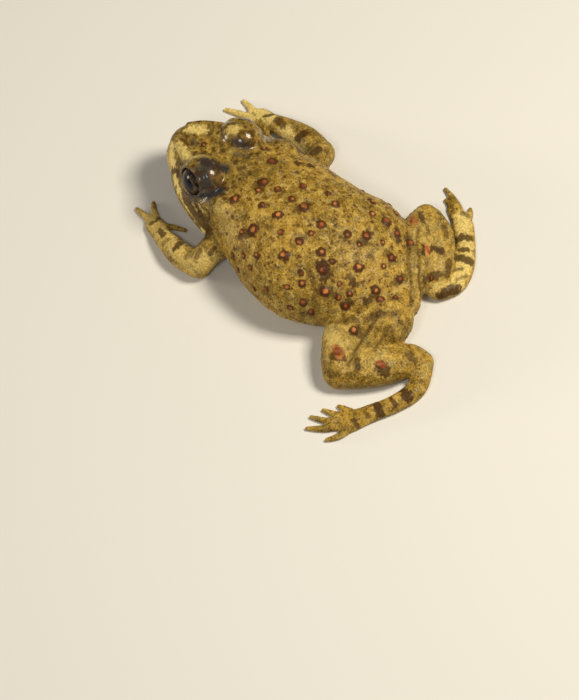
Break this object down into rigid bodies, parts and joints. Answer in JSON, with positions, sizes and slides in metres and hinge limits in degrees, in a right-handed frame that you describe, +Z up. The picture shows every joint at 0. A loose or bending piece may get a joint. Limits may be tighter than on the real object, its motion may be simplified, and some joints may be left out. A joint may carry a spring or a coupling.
{
  "type": "red-spotted toad",
  "caption": "Life-size still model of a small warty toad resting flat, head raised, hind legs folded at its sides and hands spread in front.",
  "frame": {"origin": "on the floor, under the middle of the toad's outline seen from above", "axes": "+Z up, the toad faces -Y and its left side is towards +X"},
  "size_m": [0.057, 0.068, 0.017],
  "materials": {
    "skin_head": "moist granular skin, olive and gold, with dark specks and pale lips",
    "skin_body": "moist granular skin, olive and gold, with small red-topped warts in dark rings",
    "skin_arm": "moist skin, pale gold with dark brown bars",
    "skin_leg": "moist skin, golden tan with dark brown bars and a few orange warts",
    "eye": "wet, glossy, blue-black with a bronze iris"
  },
  "bodies": {
    "root": {"head": "skin_head", "torso": "skin_body", "upper_arm_left": "skin_arm", "forearm_left": "skin_arm", "hand_left": "skin_arm", "upper_arm_right": "skin_arm", "forearm_right": "skin_arm", "hand_right": "skin_arm", "thigh_left": "skin_leg", "shank_left": "skin_leg", "foot_left": "skin_leg", "thigh_right": "skin_leg", "shank_right": "skin_leg", "foot_right": "skin_leg", "eye_left": "eye", "eye_right": "eye"}
  },
  "joints": []
}
